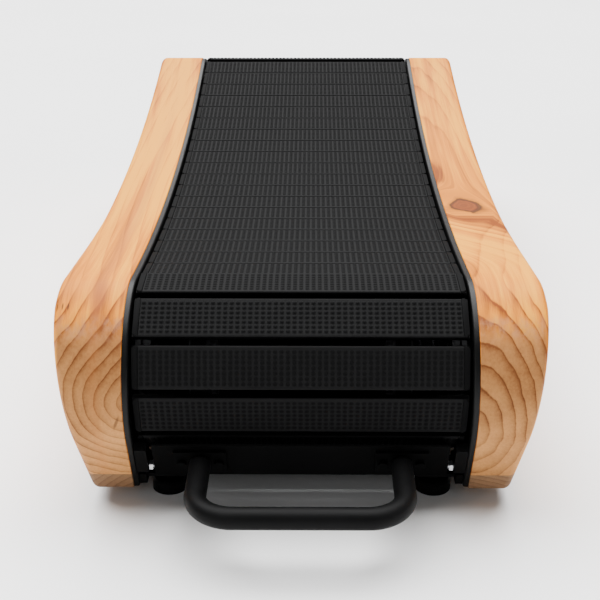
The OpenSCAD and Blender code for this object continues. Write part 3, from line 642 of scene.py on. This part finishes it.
def studded_slab(width, height):
    """Vertices and faces of the closed slab with round studs, about its middle: Z is up from its foot."""
    top = height * SLAB_SHARE
    verts = [((i - STUD_COLUMNS / 2) * COLUMN_PITCH, (j - STUD_ROWS / 2) * ROW_PITCH, top)
             for i in range(STUD_COLUMNS + 1) for j in range(STUD_ROWS + 1)]
    faces = []

    def grid(i, j):
        return i * (STUD_ROWS + 1) + j

    turns = [math.tau * (k + 0.5) / STUD_SIDES for k in range(STUD_SIDES)]
    for i in range(STUD_COLUMNS):
        for j in range(STUD_ROWS):
            x = (i + 0.5 - STUD_COLUMNS / 2) * COLUMN_PITCH
            y = (j + 0.5 - STUD_ROWS / 2) * ROW_PITCH
            foot = len(verts)
            crown = foot + STUD_SIDES
            for radius, z in ((STUD_FOOT_R, top), (STUD_TOP_R, height)):
                verts += [(x + radius * math.cos(turn), y + radius * math.sin(turn), z) for turn in turns]
            corners = [grid(i + 1, j + 1), grid(i, j + 1), grid(i, j), grid(i + 1, j)]
            for m, corner in enumerate(corners):
                first, second = foot + 2 * m, foot + 2 * m + 1
                following = foot + (2 * m + 2) % STUD_SIDES
                faces.append((first, corner, second))
                faces.append((second, corner, corners[(m + 1) % 4], following))
            for k in range(STUD_SIDES):
                other = (k + 1) % STUD_SIDES
                faces.append((foot + k, foot + other, crown + other, crown + k))
            faces.append(tuple(range(crown, crown + STUD_SIDES)))

    # Rounded lips along the two long edges, then the ends and the foot
    half = STUD_COLUMNS * COLUMN_PITCH / 2
    bends = [math.pi / 2 * k / LIP_STEPS for k in range(LIP_STEPS + 1)]
    profile = [(width / 2 - LIP_R * (1 - math.sin(bend)), top - LIP_R * (1 - math.cos(bend)))
               for bend in bends]
    profile.append((width / 2, 0))
    lips = {}
    for side, row in ((1, STUD_ROWS), (-1, 0)):
        lips[side] = len(verts)
        verts += [(x, side * y, z) for y, z in profile for x in (-half, half)]
        strip = [grid(i, row) for i in range(STUD_COLUMNS + 1)] + [lips[side] + 1, lips[side]]
        faces.append(tuple(strip[::side]))
        for k in range(len(profile) - 1):
            a = lips[side] + 2 * k
            faces.append((a, a + 1, a + 3, a + 2)[::side])
    last = 2 * (len(profile) - 1)
    faces.append((lips[1] + last, lips[1] + last + 1, lips[-1] + last + 1, lips[-1] + last))
    for end, column in ((1, STUD_COLUMNS), (0, 0)):
        down = [lips[-1] + 2 * k + end for k in range(len(profile))]
        up = [lips[1] + 2 * k + end for k in reversed(range(len(profile)))]
        ring = up + [grid(column, j) for j in reversed(range(STUD_ROWS + 1))] + down
        faces.append(tuple(ring if end else ring[::-1]))
    return verts, faces


def add_end_cap(shape, x0, x1, width, height):
    """A smooth raised cap at one end of a tread, with its outer corners cut off."""
    inward = CAP_CHAMFER if x1 > x0 else -CAP_CHAMFER
    half = width / 2
    outline = [(x0, -half), (x1 - inward, -half), (x1, CAP_CHAMFER - half), (x1, half - CAP_CHAMFER),
               (x1 - inward, half), (x0, half)]
    if x1 < x0:
        outline.reverse()
    low = [shape.verts.new((x, y, 0)) for x, y in outline]
    high = [shape.verts.new((x, y, height)) for x, y in outline]
    count = len(outline)
    shape.faces.new(low[::-1])
    top = shape.faces.new(high)
    for k in range(count):
        shape.faces.new((low[k], low[(k + 1) % count], high[(k + 1) % count], high[k]))
    bmesh.ops.bevel(shape, geom=list(top.edges), offset=CAP_EDGE, offset_type="OFFSET", segments=2,
                    profile=0.5, affect="EDGES")


def tread_mesh(length, width, height):
    mesh = bpy.data.meshes.new("tread")
    verts, faces = studded_slab(width, height)
    mesh.from_pydata(verts, [], faces)
    shape = bmesh.new()
    shape.from_mesh(mesh)
    start = STUD_COLUMNS * COLUMN_PITCH / 2 + CAP_GAP
    for side in (-1, 1):
        add_end_cap(shape, side * start, side * length / 2, width, height * CAP_SHARE)
    shape.to_mesh(mesh)
    shape.free()
    mesh.materials.append(FINISH["tread_rubber"])
    mesh.shade_smooth()
    mesh.set_sharp_from_angle(angle=math.radians(STUD_SMOOTH))
    return mesh


def make_treads():
    """One studded pad on each slat, all from one mesh."""
    frames = sorted((pad_frame(points) for points in solids("slat_treads")),
                    key=lambda pad: math.atan2(pad[0].z - REAR_SHAFT.z, pad[0].y))
    mesh = tread_mesh(*frames[0][2])
    across = Vector((1, 0, 0))
    for number, (foot, out, _) in enumerate(frames, 1):
        piece = bpy.data.objects.new(f"slat_tread_{number:02d}", mesh)
        bpy.context.collection.objects.link(piece)
        turn = Matrix((across, out.cross(across), out)).transposed().to_4x4()
        piece.matrix_world = Matrix.Translation(foot) @ turn
        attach(piece, "frame")
        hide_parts("slat_treads")


# ---------- everything else keeps its CAD shape ----------

def finish_cad_nodes():
    for node, holder in NODES.items():
        for material_slot in holder.material_slots:
            material_slot.material = finish_of(node)


# ---------- studio ----------

FLOOR_REACH = 30
SUN_POWER, SUN_ANGLE, SUN_WAY = 13.0, math.radians(75), (0.1, -0.45, -1)
SOFTBOX_POWER, SOFTBOX_SIZE = 8, (2.5, 1.5)
SOFTBOX_PLACE, SOFTBOX_AIM = (-1.5, -3.5, 1.6), (0, 0, 0.2)
WORLD_POWER = 0.25


def make_floor():
    mesh = bpy.data.meshes.new("floor")
    corners = [(-1, -1), (1, -1), (1, 1), (-1, 1)]
    mesh.from_pydata([(x * FLOOR_REACH, y * FLOOR_REACH, 0) for x, y in corners], [], [(0, 1, 2, 3)])
    floor = bpy.data.objects.new("floor", mesh)
    bpy.context.collection.objects.link(floor)
    g = Graph("floor")
    mottle = g.noise(g.stretched((1, 1, 1)), 1.5, 2)
    g.set(base_color=g.ramp(mottle, [(0.3, (0.9, 0.9, 0.9, 1)), (0.7, (0.94, 0.94, 0.94, 1))]),
          roughness=0.6)
    mesh.materials.append(g.material)


def add_light(lamp, way):
    """Hangs a light up so that it shines along way."""
    holder = bpy.data.objects.new(lamp.name, lamp)
    holder.rotation_euler = Vector(way).to_track_quat("-Z", "Y").to_euler()
    bpy.context.collection.objects.link(holder)
    return holder


def make_studio():
    make_floor()
    sun = bpy.data.lights.new("overhead", "SUN")
    sun.energy, sun.angle = SUN_POWER, SUN_ANGLE
    add_light(sun, SUN_WAY)
    softbox = bpy.data.lights.new("front", "AREA")
    softbox.shape = "RECTANGLE"
    softbox.size, softbox.size_y = SOFTBOX_SIZE
    softbox.energy = SOFTBOX_POWER
    add_light(softbox, Vector(SOFTBOX_AIM) - Vector(SOFTBOX_PLACE)).location = SOFTBOX_PLACE
    world = bpy.data.worlds.new("world")
    world.use_nodes = True
    background = world.node_tree.nodes["Background"]
    background.inputs["Color"].default_value = (1, 1, 1, 1)
    background.inputs["Strength"].default_value = WORLD_POWER
    bpy.context.scene.world = world


make_timber()
make_trims()
make_treads()
finish_cad_nodes()
make_studio()
